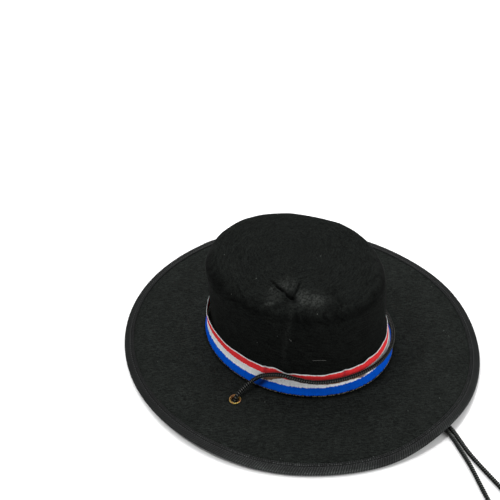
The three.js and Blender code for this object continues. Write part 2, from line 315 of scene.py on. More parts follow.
# Creases of the crown in millimetres. Each grows from nothing at its start to its full depth at the
# share of its length called grow, and lip is how far the felt swells beside it.
crownCreases = table(
    "width depth lip grow path",
    (1.2, 2.4, 0.8, 0.25,
     [(-40, 0, 116), (-44, -8, 115), (-46, -18, 115), (-48, -25, 113), (-47, -31, 111)]),
    (1, 1.4, 0.6, 0.3, [(-26, -27, 117), (-32, -27, 115), (-38, -29, 114), (-45, -30, 112)]),
    (3.4, 1.3, 0, 0, [(-45, -27, 112), (-50, -34, 109)]),
    (2.2, 0.8, 0.3, 0, [(-47, -30, 111), (-56, -27, 110), (-64, -22, 108)]),
    (3.2, -1.1, 0, 0.1, [(-51, -33, 109), (-62, -38, 105), (-68, -38, 93), (-71, -36, 74), (-72, -35, 59)]),
    (4.5, 0.8, 0, 0.1, [(-56, -41, 107), (-66, -46, 96), (-68, -46, 80)]),
    (1.1, 0.8, 0.4, 0.3, [(-27, -65, 115), (-29, -70, 114), (-32, -75, 111)]),
    (1.8, 0.7, 0.3, 0.3, [(-33, -62, 114), (-25, -62, 116), (-18, -57, 117)]),
    (6, 0.8, 0, 0, [(-27, -66, 114), (-38, -66, 111)]),
    (1.6, 0.6, 0.3, 0, [(-38, -22, 116), (-33, -16, 117)]),
    (1.8, 0.5, 0.2, 0.2, [(-52, -14, 115), (-59, -9, 114), (-63, -2, 113)]),
    (2, 0.5, 0.3, 0.2, [(-41, -39, 115), (-33, -45, 116), (-31, -53, 116)]),
)

# Worn pads of the crown's edge, where the felt is pressed and catches the light: middle and reach in
# millimetres, and shine, how much lighter each is painted as a painted sheen.
wornPads = table(
    "reach rise shine middle",
    (8, 0.7, 0.4, (-54, -14, 113)),
    (8.2, 0.7, 0.7, (-38, -18, 116)),
    (9.5, 0.9, 0.9, (-43, -40, 114)),
    (9.5, 0.6, 0.85, (-39, -51, 114)),
    (7, 0.2, 0.2, (-32, -62, 115)),
)

# Worn lines painted lighter as a painted sheen, such as the lit ridge down the crown's front.
wornLines = table(
    "width shine path",
    (2.8, 0.22, [(-54, -34, 109), (-62, -38, 105), (-68, -38, 93), (-71, -36, 74), (-73, -34, 52)]),
    (1.6, 0.7, [(-50, -7, 115), (-46, -9, 116)]),
    (1.8, 0.8, [(-66, -13, 112), (-62, -18, 112)]),
)


def smoothStep(value):
    value = np.clip(value, 0, 1)
    return value * value * (3 - 2 * value)


# How far each bearing is turned from one in degrees, the shorter way round and in radians.
def turnFrom(bearings, degrees):
    return (bearings - math.radians(degrees) + 3 * math.pi) % fullTurn - math.pi


def waveSum(bearings, key):
    total = np.zeros_like(bearings)
    for row in brimWaves:
        near = np.clip(np.abs(turnFrom(bearings, row["bearing"])) / math.radians(row["spread"]), 0, 1)
        total += row[key] * np.cos(near * math.pi / 2) ** 2
    return total


# The sum of soft bumps round the hat.
def bumpsRound(bearings, rows, key):
    total = np.zeros_like(bearings)
    for row in rows:
        near = turnFrom(bearings, row["bearing"]) / math.radians(row["spread"])
        total += row[key] * np.exp(-(near**2))
    return total


# Length along a line at each of its points, and the points at given lengths.
def lengthsAlong(line):
    return np.append(0, np.cumsum(np.linalg.norm(np.diff(line, axis=0), axis=1)))


def pointsAt(places, lengths, line):
    return np.stack([np.interp(places, lengths, line[:, axis]) for axis in range(3)], axis=1)


# Distance of each point from the line from start to end, and the share of the line it lies beside.
def nearLine(points, start, end):
    start = np.array(start, dtype=float)
    line = np.array(end, dtype=float) - start
    share = np.clip((points - start) @ line / (line @ line), 0, 1)
    return np.linalg.norm(points - start - share[..., None] * line, axis=-1), share


def nearPath(points, path):
    starts = lengthsAlong(path)
    nearest = np.full(points.shape[:-1], np.inf)
    along = np.zeros(points.shape[:-1])
    for a, b, before, after in zip(path, path[1:], starts, starts[1:]):
        away, share = nearLine(points, a, b)
        closer = away < nearest
        nearest = np.where(closer, away, nearest)
        along = np.where(closer, (before + share * (after - before)) / starts[-1], along)
    return nearest, along


# The path of a crease or worn line, or the middle of a pad, moved straight onto the middle of the
# felt's wall before it is dented.
def seated(row):
    path = np.array(row.get("path") or [row["middle"]], dtype=float) * mm
    if len(path) > 1:
        path = smoothRoute(path, felt["markStep"])[0]
    bearings = np.linspace(-math.pi, math.pi, 180, endpoint=False)
    points, normals = plainShell(crownSections(*felt["markRings"]), bearings)
    points, normals = points.reshape(-1, 3), normals.reshape(-1, 3)
    nearest = np.linalg.norm(points[None] - path[:, None], axis=2).argmin(axis=1)
    lift = ((path - points[nearest]) * normals[nearest]).sum(axis=1, keepdims=True)
    return path - lift * normals[nearest]


def seatMarks():
    marks = (*crownCreases, *wornPads, *wornLines)
    for row in marks:
        row["line"] = seated(row)
    print("creases and worn places laid on the crown:", len(marks))


# How far a crease is pressed in at each point: its own depth and the swelling beside it.
def creaseDepth(points, row):
    away, along = nearPath(points, row["line"])
    near = away / (row["width"] * mm)
    grown = smoothStep(along / row["grow"]) if row["grow"] else 1.0
    return grown * mm * (row["depth"] * np.exp(-near**2) - row["lip"] * np.exp(-((near - 2.1) ** 2)))


# How deep the crown is pressed in at each point.
def dentDepth(points):
    scale = np.array([footWide, footLong, crownHeight])
    base = np.array([0, 0, hat["brimStand"]])
    depth = np.zeros(points.shape[:-1])
    for row in crownDents:
        start, end = (np.array(row[key]) * scale + base for key in ("start", "end"))
        near = nearLine(points, start, end)[0] / (row["width"] * hat["shoulderRadius"])
        depth += row["depth"] * hat["shoulderRadius"] * np.exp(-near**2)
    for row in crownCreases:
        depth += creaseDepth(points, row)
    for row in wornPads:
        away = np.linalg.norm(points - row["line"], axis=-1)
        depth -= row["rise"] * mm * np.exp(-((away / (row["reach"] * mm)) ** 2))
    return depth


# Soft unevenness of the pressed felt, made of a few waves whose lengths are in millimetres.
def unevenness(points):
    x, y, z = (points[..., axis] / mm for axis in range(3))
    waves = np.sin(x / 9.1 + 1.3) * np.sin(y / 11.3 + 0.4) + 0.7 * np.sin(x / 5.3 - y / 6.1 + z / 7.9)
    waves += 0.5 * np.sin(x / 3.7 + z / 4.3 + 2.1) * np.sin(y / 3.1 - z / 5.9)
    return felt["unevenness"] * waves


# Sections of the hat from the middle of the crown's top to the felt's edge. Each is an oval at the
# middle of the felt's wall: half sizes, height, the wall's slope, and how far out on the brim.
def section(long, wide, height, lean, out=0.0):
    return {"long": long, "wide": wide, "height": height, "lean": lean, "out": out}


def brimSection(out):
    height = brimMiddle - brimFall * out**brimPower
    lean = math.atan(brimFall * brimPower * out ** (brimPower - 1) / brimRun) if out > 0 else 0.0
    foot = hat["footRadius"]
    long = footLong + foot + (edgeLong - footLong - foot) * out
    wide = footWide + foot + (edgeWide - footWide - foot) * out
    return section(long, wide, height, lean, out)


def wallSection(height):
    rise = (height - wallFoot) / (shoulderFoot - wallFoot)
    left = max(0.0, 1 - rise)
    reach = 1 - hat["wallTaper"] * (1 - left ** hat["wallCurve"])
    slope = hat["wallTaper"] * hat["wallCurve"] * left ** (hat["wallCurve"] - 1)
    pull = slope * (footLong + footWide) / 2 / (shoulderFoot - wallFoot)
    return section(footLong * reach, footWide * reach, height, math.pi / 2 - math.atan(pull))


def topSections(steps, plain):
    rim = wallSection(shoulderFoot)
    long = rim["long"] - hat["shoulderRadius"]
    wide = rim["wide"] - hat["shoulderRadius"]
    rows = []
    # the plain middle has few rows and the creased rest has most
    middle = np.linspace(0, felt["plainShare"], plain + 1)[1:]
    for share in (*middle, *np.linspace(felt["plainShare"], 1, steps - plain + 1)[1:]):
        lift = hat["domeRise"] * (1 - share * share)
        lean = math.atan(4 * hat["domeRise"] * share / (long + wide))
        rows.append(section(long * share, wide * share, shoulderFoot + hat["shoulderRadius"] + lift, lean))
    return rows


def shoulderSections(steps):
    rim = wallSection(shoulderFoot)
    radius = hat["shoulderRadius"]
    rows = []
    for i in range(1, steps):
        turn = math.pi / 2 * i / steps
        inset = radius * (1 - math.sin(turn))
        height = shoulderFoot + radius * math.cos(turn)
        rows.append(section(rim["long"] - inset, rim["wide"] - inset, height, turn))
    return rows


def footSections(steps):
    radius = hat["footRadius"]
    rows = []
    for i in range(1, steps):
        turn = math.pi / 2 * (1 - i / steps)
        out = radius * (1 - math.sin(turn))
        rows.append(section(footLong + out, footWide + out, wallFoot - radius * math.cos(turn), turn))
    return rows


def crownSections(top, plain, shoulder, wall, foot):
    heights = np.linspace(shoulderFoot, wallFoot, wall)
    walls = [wallSection(height) for height in heights]
    return topSections(top, plain) + shoulderSections(shoulder) + walls + footSections(foot)


def columnsOf(sections):
    keys = ("long", "wide", "height", "lean", "out")
    return (np.array([row[key] for row in sections])[:, None] for key in keys)


# The middle of the felt's wall before it is dented or waved, with its directions outwards.
def plainShell(sections, bearings):
    long, wide, height, lean, out = columnsOf(sections)
    cos, sin = np.cos(bearings)[None, :], np.sin(bearings)[None, :]
    points = np.stack(np.broadcast_arrays(cos * wide, sin * long, height), axis=-1)
    across = np.stack([cos / wide, sin / long], axis=-1)
    across /= np.linalg.norm(across, axis=-1, keepdims=True)
    up = np.broadcast_to(np.cos(lean)[..., None], points[..., :1].shape)
    return points, np.concatenate([across * np.sin(lean)[..., None], up], axis=-1)


# Points of the hat, one row for each section and one column for each bearing, at a distance off
# the middle of the felt's wall. soft is how much of the felt's unevenness they show.
def surface(sections, bearings, off=0.0, soft=1.0):
    long, wide, height, lean, out = columnsOf(sections)
    off = np.broadcast_to(np.asarray(off, dtype=float), np.broadcast(long, bearings).shape)
    outward = off * np.sin(lean)
    cos, sin = np.cos(bearings)[None, :], np.sin(bearings)[None, :]
    points = np.stack([cos * (wide + outward), sin * (long + outward), height + off * np.cos(lean)], axis=-1)
    middle, normals = plainShell(sections, bearings)
    push = 1 + waveSum(bearings, "push")[None, :] * hat["brimStand"] * out / long
    push = np.where(out > 0, push, 1.0)
    points[..., :2] *= push[..., None]
    points[..., 2] += waveSum(bearings, "lift")[None, :] * hat["cordDiameter"] * out**2
    # neither the band nor the binding lies on dented felt
    crown = (out <= 0) * smoothStep((height - bandHigh[2]) / felt["bandFade"])
    brim = smoothStep(out / felt["footFade"]) * smoothStep((bindingStart - out) / felt["bindingFade"])
    depth = crown * dentDepth(middle) + soft * (crown + brim) * unevenness(middle)
    return points - normals * depth[..., None]


# Cord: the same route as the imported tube, as a round braid

cord = {
    "ribPitch": 2.3 * mm,  # from one strand of the braid to the next
    "ribDepth": 0.5 * mm,
    "step": 0.34 * mm,
    "sides": 24,
    "strands": 4,  # columns of ribs round it
    # the grooves painted near black as shade, the crests lighter as a painted highlight
    "colour": (0.001, 0.001, 0.001),
    "crestHighlight": (0.125, 0.133, 0.125),
}

# In metres: from the right eyelet over the band's front, down through the left eyelet, over the
# surface under the brim, out at the front and round its end, back in and up the right eyelet.
cordPoints = [
    (0.1099, 0, 0.0091), (0.108, -0.0002, 0.0128), (0.0985, -0.003, 0.017),
    (0.0878, -0.0116, 0.0203), (0.0798, -0.0354, 0.0215), (0.0651, -0.0665, 0.0225),
    (0.0425, -0.0893, 0.0242), (0.0151, -0.1008, 0.0276), (-0.0142, -0.1005, 0.03),
    (-0.0454, -0.0851, 0.0316), (-0.0647, -0.0646, 0.0324), (-0.0733, -0.048, 0.0354),
    (-0.0782, -0.0342, 0.0374), (-0.083, -0.0143, 0.0286), (-0.0859, -0.0063, 0.0208),
    (-0.0955, -0.0023, 0.0172), (-0.108, -0.0002, 0.0128), (-0.11, 0, 0.009),
    (-0.1114, 0, 0.0061), (-0.1149, -0.0002, 0.0031), (-0.122, -0.0014, 0.00235),
    (-0.131, -0.013, 0.00235), (-0.088, -0.098, 0.00235), (-0.038, -0.137, 0.00235),
    (-0.0205, -0.161, 0.00235), (-0.025, -0.186, 0.00235), (-0.0435, -0.216, 0.00235),
    (-0.103, -0.298, 0.00235), (-0.0955, -0.314, 0.00235), (-0.0785, -0.3, 0.00235),
    (-0.0385, -0.219, 0.00235), (-0.0198, -0.187, 0.00235), (-0.0148, -0.1615, 0.00235),
    (0.026, -0.134, 0.00235), (0.088, -0.098, 0.00235), (0.131, -0.013, 0.00235),
    (0.122, -0.0014, 0.00235), (0.1149, -0.0002, 0.0031), (0.1114, 0, 0.0061),
    (0.1101, 0, 0.0087),
]


# A smooth curve through all points (a centripetal spline), in equal steps of its length.
def smoothRoute(points, step):
    points = np.array(points, dtype=float)
    points = np.vstack([2 * points[0] - points[1], points, 2 * points[-1] - points[-2]])
    share = np.linspace(0, 1, 40, endpoint=False)[:, None]
    stretches = []
    for a, b, c, d in zip(points, points[1:], points[2:], points[3:]):
        first, middle, last = (np.linalg.norm(q - p) ** 0.5 for p, q in ((a, b), (b, c), (c, d)))
        leave = ((b - a) / first - (c - a) / (first + middle) + (c - b) / middle) * middle
        arrive = ((c - b) / middle - (d - b) / (middle + last) + (d - c) / last) * middle
        cubic = (2 * b - 2 * c + leave + arrive) * share**3
        square = (-3 * b + 3 * c - 2 * leave - arrive) * share**2
        stretches.append(b + leave * share + square + cubic)
    line = np.vstack([*stretches, points[-2][None, :]])
    lengths = lengthsAlong(line)
    places = np.linspace(0, lengths[-1], round(lengths[-1] / step) + 1)
    return pointsAt(places, lengths, line), places


# Two directions across the route at each point, carried along it without twist.
def routeFrames(route):
    ahead = np.gradient(route, axis=0)
    ahead /= np.linalg.norm(ahead, axis=1, keepdims=True)
    side = np.cross(ahead[0], (0, 1, 0))
    sides = []
    for direction in ahead:
        side = side - direction * (side @ direction)
        side /= np.linalg.norm(side)
        sides.append(side)
    sides = np.array(sides)
    return sides, np.cross(ahead, sides)


# Height of a round braid's surface, from 0 in its grooves to 1 on its strands: columns of slanting
# ribs, each column leaning the other way from its neighbours.
def braidHeight(angle, along, pitch, columns):
    column = columns * angle / fullTurn
    lean = np.abs(column % 2 - 1)
    rib = 0.5 + 0.5 * np.cos(fullTurn * (along / pitch + 0.35 * lean))
    edge = np.abs(np.sin(math.pi * column))
    return rib**0.8 * (0.6 + 0.4 * edge**0.35)


def makeCord():
    route, along = smoothRoute(cordPoints, cord["step"])
    angle = np.linspace(0, fullTurn, cord["sides"], endpoint=False)
    height = braidHeight(angle[None, :], along[:, None], cord["ribPitch"], cord["strands"])
    radius = hat["cordDiameter"] / 2 - cord["ribDepth"] * (1 - height)
    item = meshObject("chinCord", *tube(route, *routeFrames(route), radius, cord["sides"]))
    paint(item, "rib", height)
    finishPiece(item, cordMaterial(), "chin_cord")


def cordMaterial():
    shade = Shader("braidedCord", {"Roughness": 0.7, "Specular IOR Level": 0.08})
    yarn = shade.noise(shade.place(), 2400, 2)
    # painted highlight on the ribs' crests and painted shade in the grooves
    crest = shade.square(shade.remap(shade.attribute("rib"), 0.58, 0.96))
    light = shade.times(crest, shade.remap(yarn, 0.3, 0.7, 0.6, 1.1))
    shade.link(shade.mix(light, cord["colour"], cord["crestHighlight"]), "Base Color")
    shade.bump(yarn, 0.1 * mm, 0.6)
    return shade.material


# Felt: crown and brim in one shell

felt = {
    "grainTurn": 50.85,  # degrees: the way the felt's fibres mostly run
    "ringStreaks": 8,  # how often the crown's fibres change in a radian round it
    "dark": (0.0016, 0.0019, 0.0017),
    "light": (0.0124, 0.0142, 0.0129),
    # colour of the painted sheen on worn felt
    "paintedSheen": (0.03, 0.0325, 0.03),
    # painted shade deep in the creases
    "crease": (0.0012, 0.0013, 0.0013),
    "fleck": (0.07, 0.075, 0.07),
    # painted light and shade by slope: the brim lighter, the wall darker, and darker still just below the
    # crown's edge
    "brimPaintedLight": 0.62,  # how much lighter the brim is than the crown's top
    "edgeShade": 0.35,  # how much darker it is just below the crown's edge
    "wallPaintedShade": 0.9,  # how light the crown's wall is against its top
    "columns": 220,  # round most of the oval
    "fineColumns": 150,  # over the creases
    "darkDepth": 2.2 * mm,  # creases as deep as this hold no light
    "plainShare": 0.34,  # of the crown's top, round its middle
    "fineFrom": -190,  # degrees round the oval from +X, where the fine columns start
    "fineTo": -95,
    "brimRings": 26,
    # rings of the top, of its plain middle, of the shoulder, wall and foot
    "outerRings": (62, 9, 40, 36, 5),
    "innerRings": (10, 3, 7, 14, 4),
    "markRings": (30, 2, 12, 20, 4),  # to lay creases on
    "markStep": 2 * mm,
    "unevenness": 0.16 * mm,
    "bandFade": 6 * mm,  # above the band the dents come in over this height
    "footFade": 0.25,  # share of the brim, from the crown, over which unevenness comes in
    "bindingFade": 0.12,  # the same before the binding, where it ends
    "holeGap": 0.35 * mm,  # round an eyelet's barrel
}


def feltBearings():
    fineFrom, fineTo = math.radians(felt["fineFrom"]), math.radians(felt["fineTo"])
    fine = np.linspace(fineFrom, fineTo, felt["fineColumns"], endpoint=False)
    coarse = np.linspace(fineTo, fineFrom + fullTurn, felt["columns"], endpoint=False)
    return np.concatenate([fine, coarse])


def makeFelt():
    bearings = feltBearings()
    columns = len(bearings)
    brim = [brimSection(out * bindingStart) for out in np.linspace(0, 1, felt["brimRings"])]
    brim += [brimSection(bindingStart + (1 - bindingStart) * share) for share in (0.35, 0.7, 1)]
    outer = crownSections(*felt["outerRings"]) + brim
    inner = crownSections(*felt["innerRings"]) + brim
    rings = [surface(outer, bearings, halfWall), surface(inner, bearings, -halfWall)[::-1]]
    peak = surface([section(0.001 * mm, 0.001 * mm, hat["topHeight"] - halfWall, 0)], bearings[:1])[0, 0]
    ends = [peak + (0, 0, halfWall), peak - (0, 0, halfWall)]
    points = np.vstack([np.concatenate(rings).reshape(-1, 3), *ends])
    count = len(outer) + len(inner)
    faces = cutHoles(points, gridFaces(count, columns), columns, len(outer), len(brim))
    top = count * columns
    last = top - columns
    for k in range(columns):
        following = (k + 1) % columns
        faces.append([top, k, following])
        faces.append([top + 1, last + following, last + k])
    item = meshObject("feltBody", points, faces)
    markFelt(item, plainShell(outer, bearings)[0], outer + inner[::-1])
    finishPiece(item, feltMaterial(), "felt_body")
    print("felt made:", len(item.data.polygons), "faces")


# Round holes for the eyelets, cut through both faces of the brim and closed between them. Gives the
# faces that are left and moves the points round each hole onto its circle.
def cutHoles(points, faces, columns, outerRows, brimRows):
    radius = eyelet["barrel"] + felt["holeGap"]
    middles = points[faces].mean(axis=1)[:, :2]
    rows = faces[:, 0] // columns
    onBrim = (rows > outerRows - brimRows) & (rows < outerRows + brimRows - 2)
    gone = np.zeros(len(faces), dtype=bool)
    walls = []

    # the inner face's rows mirror the outer face's
    def below(point):
        return (2 * outerRows - 1 - point // columns) * columns + point % columns

    for side in (-1, 1):
        centre = eyeletPlace(side)[0][:2]
        inHole = onBrim & (np.linalg.norm(middles - centre, axis=1) < radius)
        gone |= inHole
        lip = boundaryEdges(faces[inHole])
        corners = np.unique(lip)
        outwards = points[corners, :2] - centre
        outwards /= np.linalg.norm(outwards, axis=1, keepdims=True)
        points[corners, :2] = centre + outwards * radius
        for a, b in lip:
            if a // columns < outerRows:
                walls.append([a, b, below(b), below(a)])
    return faces[~gone].tolist() + walls


# Painted sheen on worn places, painted shade in the creases, and painted light and shade by slope, as
# attributes of the felt's points. Worn and creased places show on the outer face only. Light is painted on
# the crown's top and most on the brim, and shade is painted most just below the crown's edge.
def markFelt(item, shell, sections):
    paintedSheen = np.zeros(shell.shape[:2])
    paintedCreaseShade = np.zeros(shell.shape[:2])
    # worn places, which get a painted sheen
    for row in wornPads:
        away = np.linalg.norm(shell - row["line"], axis=-1)
        paintedSheen = np.maximum(paintedSheen, row["shine"] * np.exp(-((away / (row["reach"] * mm)) ** 2.5)))
    for row in wornLines:
        away = nearPath(shell, row["line"])[0]
        paintedSheen = np.maximum(paintedSheen, row["shine"] * np.exp(-((away / (row["width"] * mm)) ** 2)))
    # painted shade in the creases, by their depth
    for row in crownCreases:
        paintedCreaseShade = np.maximum(paintedCreaseShade, creaseDepth(shell, row) / felt["darkDepth"])
    rest = np.zeros(len(item.data.vertices) - paintedSheen.size)
    paintedSheen, paintedCreaseShade = (np.append(np.clip(values, 0, 1), rest) for values in (paintedSheen, paintedCreaseShade))
    flat = np.cos([row["lean"] for row in sections])  # 1 on level felt, 0 on an upright wall
    # painted light and shade by slope: the wall a little darker than the top, darkest just below the edge,
    # the brim lighter
    paintedSlopeLight = felt["wallPaintedShade"] + (1 - felt["wallPaintedShade"]) * smoothStep((flat - 0.66) / 0.16)
    paintedSlopeLight -= felt["edgeShade"] * np.exp(-(((flat - 0.5) / 0.2) ** 2))
    paintedSlopeLight = np.where([row["out"] > 0 for row in sections], 1 + felt["brimPaintedLight"], paintedSlopeLight)
    paint(item, "paintedSlopeLight", np.append(np.repeat(paintedSlopeLight, shell.shape[1]), (1, 1)))
    paint(item, "paintedSheen", paintedSheen * (1 - paintedCreaseShade))
    paint(item, "paintedCreaseShade", paintedCreaseShade)


# Edges that belong to one face only, in that face's direction.
def boundaryEdges(quads):
    edges = {}
    for quad in quads.tolist():
        for a, b in zip(quad, quad[1:] + quad[:1]):
            if (b, a) in edges:
                del edges[(b, a)]
            else:
                edges[(a, b)] = True
    return np.array(list(edges))


def feltMaterial():
    shade = Shader("pressedFelt", {"Roughness": 0.95, "Specular IOR Level": 0.03})
    place = shade.place()
    east, north, height = shade.node("ShaderNodeSeparateXYZ", {0: place}).outputs
    turn = felt["grainTurn"]
    level = shade.plus(shade.streaks(turn, 1150, 7), shade.streaks(turn + 15, 1200, 5))
    # on the crown the fibres follow its rings: a noise of reach or height and bearing, without a seam
    reach = shade.math("SQRT", shade.plus(shade.square(east), shade.square(north)))
    ring = [shade.times(shade.math("DIVIDE", way, reach), felt["ringStreaks"]) for way in (east, north)]
    across = shade.times(shade.plus(reach, height), 900)
    rings = shade.node("ShaderNodeCombineXYZ", {0: ring[0], 1: ring[1], 2: across}).outputs[0]
    ringed = shade.plus(shade.noise(rings, 1, 3, 0.6), shade.noise(place, 800, 2, 0.6))
    fibres = shade.between(shade.remap(height, 0.03, 0.05), level, ringed)
    fibres = shade.plus(shade.times(fibres, 0.3), shade.times(shade.noise(place, 1150, 2, 0.7), 0.4))
    mottle = shade.remap(shade.noise(place, 60, 3), 0.3, 0.7, 0.8, 1.12)
    light = shade.times(shade.remap(fibres, 0.415, 0.615), mottle)
    # the felt's painted light and shade by slope
    colour = shade.shaded(shade.mix(light, felt["dark"], felt["light"]), shade.attribute("paintedSlopeLight"))
    # worn felt is smoother, and is painted lighter with glints as a painted sheen
    paintedSheen = shade.attribute("paintedSheen")
    sparkle = shade.remap(shade.noise(place, 520, 2, 0.65), 0.43, 0.57)
    sheenShare = shade.times(paintedSheen, shade.plus(shade.times(sparkle, 0.9), 0.1))
    colour = shade.mix(sheenShare, colour, felt["paintedSheen"])
    # a few pale flecks
    specks = shade.node("ShaderNodeTexVoronoi", {"Vector": place, "Scale": 260}, feature="F1")
    speck = shade.math("LESS_THAN", specks.outputs["Distance"], 0.12)
    draw = shade.node("ShaderNodeSeparateColor", {0: specks.outputs["Color"]}).outputs[0]
    rare = shade.times(speck, shade.math("GREATER_THAN", draw, 0.985))
    colour = shade.mix(rare, colour, felt["fleck"])
    # painted shade in the creases
    colour = shade.mix(shade.times(shade.attribute("paintedCreaseShade"), 0.92), colour, felt["crease"])
    shade.link(colour, "Base Color")
    shade.link(shade.remap(paintedSheen, 0, 1, 0.95, 0.7), "Roughness")
    shade.bump(fibres, 0.5 * mm, 0.7)
    return shade.material


# Binding: ribbed ribbon folded over the felt's edge

binding = {
    "columns": 2400,
    "width": 9.4 * mm,  # as much of it as shows
    "ribPitch": 2.45 * mm,  # along the edge
    "ribSlant": 0.55,  # how far a rib runs along the edge for each step across the ribbon
    "ribDepth": 0.16 * mm,
    "wall": 0.95 * mm,
    "gap": 0.1 * mm,  # between it and the felt
    "foot": 0.05 * mm,  # the least height over the surface
    "hem": 3.6 * mm,  # from the ribbon's inner edge to the stitched groove
    "groove": 0.4 * mm,
    "grooveWidth": 0.55 * mm,
    "selvedge": 0.12 * mm,  # height of the thread along its inner edge
    "selvedgeRun": 0.7 * mm,  # from that edge to the thread's middle
    "selvedgeWidth": 0.5 * mm,
    "stitchLength": 2.1 * mm,
    "stitchPitch": 3 * mm,
    "stitchRadius": 0.22 * mm,
    "stitchRise": 0.1 * mm,  # of their middle over the groove's bottom
    "stitchSides": 8,
    "lapBearing": 62,  # degrees: where the ribbon's ends overlap, at the back
    "lapLength": 9 * mm,
    "lapHeight": 0.3 * mm,
    "hemPitch": 2.1 * mm,  # of the finer threads of the hem
    "dark": (0.0025, 0.0028, 0.0028),
    "light": (0.088, 0.095, 0.092),
    "thread": (0.012, 0.013, 0.014),
    "darkThread": (0.004, 0.004, 0.005),
    "plain": 0.16,  # how light the ribs are where no light is painted on them
    # light painted on the ribs: bearing and spread in degrees, and how much lighter
    "paintedRibLight": table("bearing spread share", (-150, 24, 0.9), (-90, 34, 0.32)),
}

# A stitch: places along it as shares of its length, and how thick it is there.
stitchRings = table(
    "place width",
    (-0.5, 0.3), (-0.42, 0.75), (-0.25, 1), (0, 1), (0.25, 1), (0.42, 0.75), (0.5, 0.3),
)


# The ribbon's way round the edge, from its upper inner edge over the fold to its lower one and back
# along its inner face. Each row has a section, an offset from the felt's middle, the run along the
# ribbon, how much of the ribs it shows, and past the felt's edge a turn round that edge.
def bindingProfile():
    inner = halfWall + binding["gap"]
    outer = inner + binding["wall"]
    edge = brimSection(1)
    width = binding["width"]
    start = 1 - width / brimRun
    profile = []

    def onFelt(share, off, run, rib):
        row = brimSection(start + (1 - start) * share)
        profile.append({"section": row, "off": off, "run": run, "rib": rib, "turn": None})

    def pastEdge(reach, off, run, rib):
        across = reach * math.cos(edge["lean"]) + off * math.sin(edge["lean"])
        height = edge["height"] + off * math.cos(edge["lean"]) - reach * math.sin(edge["lean"])
        row = section(edge["long"] + across, edge["wide"] + across, height, edge["lean"], 1.0)
        profile.append({"section": row, "off": 0.0, "run": run, "rib": rib, "turn": (reach, off)})

    for share in np.linspace(0, 1, 21):
        crest = outer - 0.4 * mm * (1 - smoothStep(share * width / (0.5 * mm)))
        onFelt(share, crest, share * width, 1.0)
    nose = bindingNose - 0.35 * mm
    for turn in np.linspace(0, math.pi, 9)[1:-1]:
        pastEdge(nose * math.sin(turn), outer * math.cos(turn), width + nose * turn, 1.0)
    for share in np.linspace(1, 0, 6):
        onFelt(share, -outer, width * (2 - share) + nose * math.pi, 0.6)
    for share in (0, 1):
        onFelt(share, -inner, 0.0, 0.0)
    for side in (-1, 1):
        pastEdge(0.15 * mm, side * inner * 0.6, 0.0, 0.0)
    for share in (1, 0):
        onFelt(share, inner, 0.0, 0.0)
    return profile


# Length along the felt's edge at each bearing, and all round it.
def edgeLengths(bearings):
    lengths = lengthsAlong(surface([brimSection(1)], np.append(bearings, bearings[0] + fullTurn), soft=0)[0])
    return lengths[:-1], lengths[-1]


# How far a ring of the ribbon stands off its plain shape at each bearing: the ribs, the thread along
# its inner edge, the stitched groove and the overlap.
def bindingLift(row, along, pitch, lap):
    twill = 0.5 + 0.5 * np.cos(fullTurn * (along + binding["ribSlant"] * row["run"]) / pitch)
    selvedge = math.exp(-(((row["run"] - binding["selvedgeRun"]) / binding["selvedgeWidth"]) ** 2))
    groove = math.exp(-(((row["run"] - binding["hem"]) / binding["grooveWidth"]) ** 2))
    rib = binding["ribDepth"] * (twill * (1 - groove) - 1) + binding["selvedge"] * selvedge
    return row["rib"] * (rib - binding["groove"] * groove + binding["lapHeight"] * lap)


def bindingRing(row, bearings, lift):
    if row["turn"]:
        reach, off = row["turn"]
        size = math.hypot(reach, off)
        outward = (reach * math.cos(edgeTilt) + off * math.sin(edgeTilt)) / size
        upward = (off * math.cos(edgeTilt) - reach * math.sin(edgeTilt)) / size
        points = surface([row["section"]], bearings, soft=0)[0]
        x, y = (way * outward * lift for way in (np.cos(bearings), np.sin(bearings)))
        points += np.stack([x, y, upward * lift], axis=1)
    else:
        off = row["off"] + math.copysign(1, row["off"]) * lift
        points = surface([row["section"]], bearings, off, soft=0)[0]
    floor = waveSum(bearings, "lift") * hat["cordDiameter"] * row["section"]["out"] ** 2
    points[:, 2] = np.maximum(points[:, 2], floor + binding["foot"])
    return points


def makeBinding():
    columns = binding["columns"]
    start = math.radians(binding["lapBearing"])
    bearings = np.linspace(start, start + fullTurn, columns, endpoint=False) - fullTurn
    along, around = edgeLengths(bearings)
    pitch = around / round(around / binding["ribPitch"])  # so that the ribs meet after one turn
    lap = lapRise(bearings, binding["lapBearing"] + 3, binding["lapLength"] / hat["brimWidth"] * 2)
    profile = bindingProfile()
    points = np.array([bindingRing(row, bearings, bindingLift(row, along, pitch, lap)) for row in profile])
    faces = gridFaces(len(profile), columns, closedRows=True)
    item = meshObject("brimBinding", points.reshape(-1, 3), faces)
    # the pattern's place: millimetres along the edge, in whole ribs, and across the ribbon
    scale = binding["ribPitch"] / pitch / mm
    runs = np.array([row["run"] for row in profile]) / mm
    uv = np.stack(np.broadcast_arrays(along[None, :] * scale, runs[:, None]), axis=-1)
    unwrap(item, "ribbon", uv.reshape(-1, 2), around * scale)
    # light painted on the ribs round the front
    paintedSheen = bumpsRound(bearings, binding["paintedRibLight"], "share") + binding["plain"]
    paint(item, "paintedRibLight", np.broadcast_to(paintedSheen, points.shape[:2]))
    finishPiece(item, bindingMaterial(), "brim_binding")
    print("binding made:", len(item.data.polygons), "faces")


# 1 over the overlapped end of a ribbon, with a cut edge on one side and a slow slope on the other.
def lapRise(bearings, middle, width):
    turn = turnFrom(bearings, middle)
    return smoothStep((turn + width) / width) * smoothStep((width - turn) / (0.04 * width))


